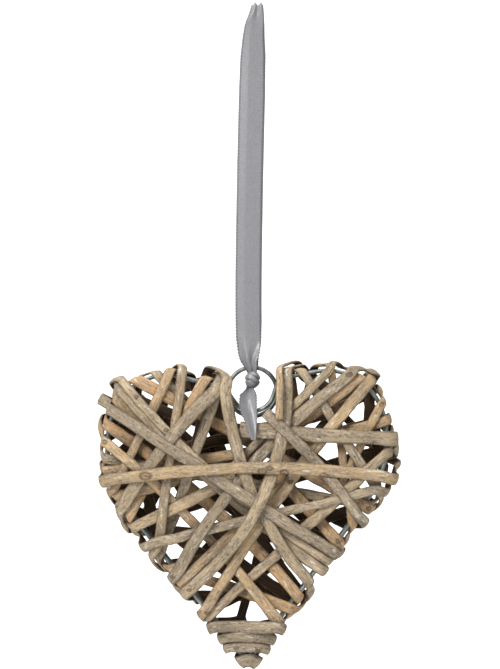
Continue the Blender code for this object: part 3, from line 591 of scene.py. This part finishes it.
def make_wires():
    """The two wire hearts and the ties between them, rounded from their CAD solids."""
    for name in sorted(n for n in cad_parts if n.startswith("wire_")):
        build = bmesh.new()
        build.from_mesh(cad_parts[name].data)
        bmesh.ops.remove_doubles(build, verts=build.verts, dist=SAME_CORNER * MM)
        bmesh.ops.join_triangles(build, faces=build.faces, angle_face_threshold=JOIN_BEND,
                                 angle_shape_threshold=JOIN_SKEW)
        mesh = bpy.data.meshes.new(name + "_fine")
        build.to_mesh(mesh)
        build.free()
        piece = put(name + "_fine", mesh, WIRE, name)
        rounded = piece.modifiers.new("round", "SUBSURF")
        rounded.levels = 1
        rounded.render_levels = 1


def make_ring():
    """The ring: one turn of wire whose ends are welded, so it swells a little at the weld."""
    low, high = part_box("hanging_ring")
    centre = (low + high) / 2
    wire = high.y - low.y
    radius = (high.x - low.x - wire) / 2
    bpy.ops.object.select_all(action="DESELECT")
    bpy.ops.mesh.primitive_torus_add(
        major_segments=RING_STEPS, minor_segments=RING_SIDES, major_radius=radius,
        minor_radius=wire / 2, location=centre, rotation=(math.pi / 2, 0, 0))
    torus = bpy.context.object
    mesh = torus.data
    mesh.transform(torus.matrix_world)
    bpy.data.objects.remove(torus)
    mesh.name = "hanging_ring_fine"
    for vertex in mesh.vertices:
        outward = Vector((vertex.co.x - centre.x, 0.0, vertex.co.z - centre.z)).normalized()
        turn = math.atan2(outward.z, outward.x) - WELD_TURN
        from_weld = math.remainder(turn, 2 * math.pi) * radius / MM
        swell = WELD_SWELL * math.exp(-(from_weld / WELD_LENGTH) ** 2)
        uneven = WIRE_UNEVEN * math.sin(WIRE_WAVES * turn)
        middle = centre + outward * radius
        vertex.co = middle + (vertex.co - middle) * (1 + swell + uneven)
    put("hanging_ring_fine", mesh, WIRE, "hanging_ring")


def edge_loops(run):
    """How far out the looped edge of the ribbon is along it, from 0 to 1."""
    return 0.5 + 0.5 * np.cos(2 * math.pi * run / PICOT_PITCH)


def loop_path(wire_z):
    """The loop of the ribbon: it starts under the ring's wire, goes up at the back, over the
    top and down at the front, and ends in the knot. Each point is the y, z and x of its
    middle, its width, the depth and number of its gathers, and the height of its crease,
    which is below zero towards the front."""
    return [
        (0.6, wire_z - 3.4, 0.4, 6.0, 0.8, 2.0, 0.0),
        (2.4, wire_z - 1.6, 0.3, 7.0, 1.1, 2.0, 0.0),
        (2.9, wire_z + 1.5, 0.1, 8.5, 1.2, 2.0, 0.0),
        (2.3, wire_z + 6.0, -0.8, 10.5, 1.2, 1.8, 0.0),
        (1.4, wire_z + 16.0, -1.6, 14.4, 0.7, 1.3, 0.0),
        (1.1, wire_z + 30.0, -2.0, 15.8, 0.25, 0.8, 0.0),
        (1.0, -130.0, -2.6, 16.0, 0.08, 0.6, 0.0),
        (1.0, -60.0, -2.2, 16.0, 0.08, 0.6, 0.0),
        (1.3, -34.0, -1.9, 15.6, 0.15, 0.8, 0.0),
        (2.6, -14.0, -1.3, 12.6, 0.5, 1.2, 0.0),
        (3.8, -5.0, -0.2, 9.0, 0.9, 1.8, 0.0),
        (3.3, -1.4, 0.0, 7.6, 1.1, 2.0, 0.0),
        (0.0, 0.5, 0.2, 7.2, 1.0, 2.0, 0.0),
        (-3.3, -1.4, 0.2, 7.6, 1.1, 2.0, 0.0),
        (-3.8, -5.0, -0.1, 8.8, 0.9, 1.6, -0.5),
        (-2.8, -14.0, -1.5, 12.0, 0.4, 0.9, -1.4),
        (-1.5, -34.0, -2.3, 15.2, 0.08, 0.6, -1.7),
        (-1.1, -60.0, -2.5, 16.2, 0.05, 0.5, -1.7),
        (-1.0, -130.0, -3.0, 16.2, 0.05, 0.5, -1.2),
        (-1.1, wire_z + 34.0, -2.5, 16.2, 0.15, 0.7, -1.0),
        (-1.5, wire_z + 20.0, -2.1, 16.0, 0.5, 1.0, -0.8),
        (-2.6, wire_z + 10.0, -1.8, 14.0, 1.1, 1.5, -0.3),
        (-3.4, wire_z + 4.0, -1.5, 11.0, 1.4, 2.0, 0.0),
        (-3.2, wire_z - 1.0, 0.0, 7.4, 0.9, 2.0, 0.0),
        (-1.8, wire_z - 4.6, 0.6, 4.8, 0.6, 2.0, 0.0),
    ]


def tail_path(knot_x, knot_z):
    """The loose end: out under the knot, forward over the wire and down on the strips."""
    return [
        (-0.6, knot_z - 3.0, knot_x - 1.2, 4.0, 0.6, 1.0, 0.0),
        (-3.0, knot_z - 6.4, -0.8, 5.0, 1.2, 0.8, 0.0),
        (-9.0, knot_z - 9.0, -1.2, 8.0, 2.4, 0.6, 0.0),
        (-15.8, -261.0, -1.6, 10.8, 3.4, 0.6, 0.0),
        (-19.4, -266.0, -1.8, 11.4, 3.4, 0.6, 0.0),
        (-22.0, -273.0, -0.8, 10.0, 3.0, 0.6, 0.0),
        (-24.4, -281.0, 0.8, 6.2, 1.8, 0.6, 0.0),
        (-25.0, -289.4, 2.2, 3.0, 0.6, 0.6, 0.0),
    ]


def ribbon_surface(path, drift):
    """The points across a ribbon at each step of its path, and how far along it they are."""
    rows = np.array(path)
    line, run, along = smooth_path(rows[:, [2, 0, 1]], RIBBON_STEP)
    way = unit(np.gradient(line[:, 1:], axis=0))
    normal = np.stack([-way[:, 1], way[:, 0]], -1)
    width, depth, gathers, crease = (np.interp(run, along, rows[:, k]) for k in (3, 4, 5, 6))
    ridge = np.interp(RIBBON_ACROSS, (-0.5, CREASE_PLACE, 0.5), (0.0, 1.0, 0.0))
    ridge = blur(ridge[:, None], CREASE_EASE)[:, 0]
    x = width[:, None] * RIBBON_ACROSS
    picot = PICOT_DEPTH * edge_loops(run) * np.minimum(1.0, width / RIBBON_W)
    x[:, 0] -= picot
    x[:, -1] += picot
    turns = (2 * math.pi * gathers)[:, None] * RIBBON_ACROSS + GATHER_START
    bulge = depth[:, None] * np.cos(turns + (run * drift)[:, None]) + crease[:, None] * ridge
    y = line[:, 1:2] + normal[:, :1] * bulge
    z = line[:, 2:] + normal[:, 1:] * bulge
    return np.stack([line[:, :1] + x, y, z], -1), run


def ribbon_mesh(name, surface, run):
    """The mesh of a ribbon's surface, with what its material reads."""
    count, ring, _ = surface.shape
    faces = [(i * ring + k, i * ring + k + 1, (i + 1) * ring + k + 1, (i + 1) * ring + k)
             for i in range(count - 1) for k in range(ring - 1)]
    mesh = new_mesh(name, surface * MM, faces)
    lay_pattern(mesh, "ribbon", ring,
                lambda face, i, k: (run[i] * MM, RIBBON_ACROSS[k] * RIBBON_W * MM))
    # Painted shade on the two rows of points along each looped edge, darkest on the loops.
    shades = np.zeros((count, ring))
    for k in (0, 1, ring - 2, ring - 1):
        shades[:, k] = PICOT_SHADE[0] + PICOT_SHADE[1] * edge_loops(run)
    point_values(mesh, "picot", shades.reshape(-1))
    return mesh


def make_ribbon():
    """The loop up from the ring and back, the knot and the loose end from it."""
    wire_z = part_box("hanging_ring")[1].z / MM - RING_WIRE / 2
    both = bmesh.new()
    for name, path, drift in (("loop", loop_path(wire_z), LOOP_DRIFT),
                              ("tail", tail_path(*KNOT_PLACE), TAIL_DRIFT)):
        both.from_mesh(ribbon_mesh(name, *ribbon_surface(path, drift)))
    mesh = bpy.data.meshes.new("ribbon_satin")
    both.to_mesh(mesh)
    both.free()
    piece = put("ribbon_satin", mesh, SATIN, "ribbon")
    cloth = piece.modifiers.new("thin", "SOLIDIFY")
    cloth.thickness = RIBBON_THIN * MM
    cloth.offset = 0.0
    knot_piece = make_knot()


def make_knot():
    """The knot: the ribbon wound over itself, drawn up into three slanting folds with fine
    creases on them."""
    knot_x, knot_z = KNOT_PLACE
    turns = np.linspace(0, 2 * math.pi, KNOT_SIDES, endpoint=False)
    heights = np.linspace(-1.0, 1.0, KNOT_LAYERS)
    rng = np.random.default_rng(CREASE_SEED)
    creases = [(rng.uniform(*CREASE_HEIGHTS), rng.uniform(0, 2 * math.pi),
                rng.uniform(*CREASE_DEPTHS)) for _ in range(KNOT_CREASES)]
    points = []
    for turn in turns:
        for h in heights:
            slant = h + KNOT_SLANT * math.sin(turn - KNOT_TURN)
            size = math.sqrt(max(0.0, 1 - abs(h) ** KNOT_SQUARE * KNOT_CLOSED))
            for level, depth, width in KNOT_FOLDS:
                size *= 1 - depth * math.exp(-((slant - level) / width) ** 2)
            for level, phase, depth in creases:
                gap = slant - level - CREASE_WAVE * math.sin(2 * turn + phase)
                size *= 1 - depth * math.exp(-(gap / CREASE_WIDTH) ** 2)
            points.append((knot_x + KNOT_SIZE[0] / 2 * math.sin(turn) * size,
                           KNOT_Y - KNOT_SIZE[1] / 2 * math.cos(turn) * size,
                           knot_z + KNOT_SIZE[2] / 2 * h))
    ring = KNOT_LAYERS
    faces = []
    for i in range(KNOT_SIDES):
        n = (i + 1) % KNOT_SIDES
        for k in range(ring - 1):
            faces.append((i * ring + k, n * ring + k, n * ring + k + 1, i * ring + k + 1))
    faces.append(tuple(i * ring for i in range(KNOT_SIDES - 1, -1, -1)))
    faces.append(tuple(i * ring + ring - 1 for i in range(KNOT_SIDES)))
    mesh = new_mesh("ribbon_knot", np.array(points) * MM, faces)
    lay_pattern(mesh, "ribbon", ring, lambda face, i, k: (
        turns[i] * KNOT_CLOTH[0] * MM, heights[k] * KNOT_CLOTH[1] * MM))
    point_values(mesh, "picot", np.zeros(len(points)))
    return put("ribbon_knot", facing_out(mesh), SATIN, None)


def make_studio():
    """A pale floor under the hanging heart that sweeps up into a pale wall behind it."""
    paper, tree, shader = new_material("matt_white_paper")
    feed(tree, shader, {"Base Color": "f4f4f4", "Roughness": 0.9})
    profile = [(-FLOOR_REACH, FLOOR_Z), (WALL_Y - SWEEP_R, FLOOR_Z)]
    for k in range(1, SWEEP_STEPS + 1):
        angle = math.pi / 2 * k / SWEEP_STEPS
        profile.append((WALL_Y - SWEEP_R * (1 - math.sin(angle)),
                        FLOOR_Z + SWEEP_R * (1 - math.cos(angle))))
    profile.append((WALL_Y, WALL_TOP))
    points = [(x, y, z) for y, z in profile for x in (-FLOOR_REACH, FLOOR_REACH)]
    faces = [(2 * i, 2 * i + 1, 2 * i + 3, 2 * i + 2) for i in range(len(profile) - 1)]
    mesh = new_mesh("studio_sweep", points, faces)
    mesh.materials.append(paper)
    mesh.shade_smooth()
    sweep = bpy.data.objects.new("studio_sweep", mesh)
    bpy.context.scene.collection.objects.link(sweep)


def make_light(name, spot, size, power, target):
    """A soft light at a spot, turned to its target."""
    lamp = bpy.data.lights.new(name, "AREA")
    lamp.shape = "RECTANGLE"
    lamp.size, lamp.size_y = size
    lamp.energy = power
    holder = bpy.data.objects.new(name, lamp)
    bpy.context.scene.collection.objects.link(holder)
    holder.location = spot
    holder.rotation_euler = (Vector(target) - Vector(spot)).to_track_quat("-Z", "Y").to_euler()


def make_world():
    """A faint even light from all round, and colours shown as they are."""
    world = bpy.data.worlds.new("studio")
    world.use_nodes = True
    feed(world.node_tree, world.node_tree.nodes["Background"],
         {"Color": "ffffff", "Strength": WORLD_LIGHT})
    bpy.context.scene.world = world
    bpy.context.scene.view_settings.view_transform = "Standard"


def make_camera():
    """The camera, straight in front of the heart and rolled as the photograph is."""
    lens = bpy.data.cameras.new("camera")
    lens.sensor_width = SENSOR
    lens.lens = SENSOR * (VIEW_DISTANCE - VIEW_MATCH) / VIEW_TALL
    lens.clip_end = VIEW_FAR
    holder = bpy.data.objects.new("camera", lens)
    bpy.context.scene.collection.objects.link(holder)
    right = Vector((math.cos(VIEW_ROLL), 0.0, math.sin(VIEW_ROLL)))
    up = Vector((-math.sin(VIEW_ROLL), 0.0, math.cos(VIEW_ROLL)))
    turn = Matrix((right, up, right.cross(up))).transposed().to_4x4()
    spot = Matrix.Translation((VIEW_CENTRE[0], -VIEW_DISTANCE, VIEW_CENTRE[1]))
    holder.matrix_world = spot @ turn
    bpy.context.scene.camera = holder


make_willow()
make_wires()
make_ring()
make_ribbon()
make_studio()
for light_name, light in LIGHTS.items():
    make_light(light_name, *light)
make_world()
make_camera()
